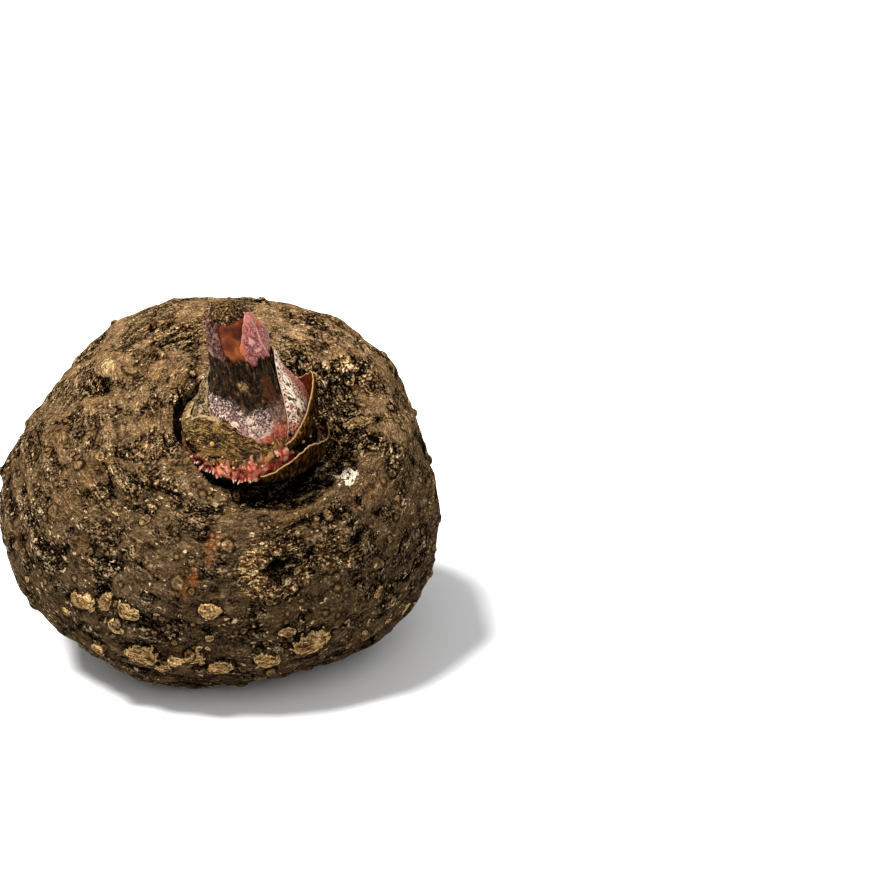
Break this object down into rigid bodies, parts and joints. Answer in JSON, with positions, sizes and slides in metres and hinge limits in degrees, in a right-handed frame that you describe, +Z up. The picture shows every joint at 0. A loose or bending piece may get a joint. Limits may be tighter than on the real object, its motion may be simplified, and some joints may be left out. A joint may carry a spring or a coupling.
{
  "type": "elephant foot yam",
  "caption": "Whole elephant foot yam corm with rough warty brown bark, lying on its flank, with a pink shoot rising from the pit in its crown.",
  "frame": {"origin": "point on the flat spot that the corm rests on, under the middle of the corm", "axes": "+Z up, -Y towards the side that the shoot leans over, +X to that side's right"},
  "size_m": [0.1986, 0.1936, 0.1753],
  "materials": {
    "bark": "matte, rough and flaking",
    "dry_tip": "satin, dark and crusty at the tip",
    "pink_scale": "satin, pink with fine veins",
    "sheath": "satin, pale pink speckled with brown",
    "speckled_scale": "matte, whitish pink speckled with brown",
    "olive_scale": "matte, dry and fibrous",
    "papery_scale": "matte, thin and dry",
    "salmon_frill": "satin, fleshy"
  },
  "bodies": {
    "root": {"corm": "bark", "shoot_core": "dry_tip", "tip_scale": "pink_scale", "sheath": "sheath", "side_scale": "speckled_scale", "left_scale": "olive_scale", "outer_collar": "olive_scale", "curled_scale": "papery_scale", "frill": "salmon_frill", "right_rim": "papery_scale"}
  },
  "joints": []
}
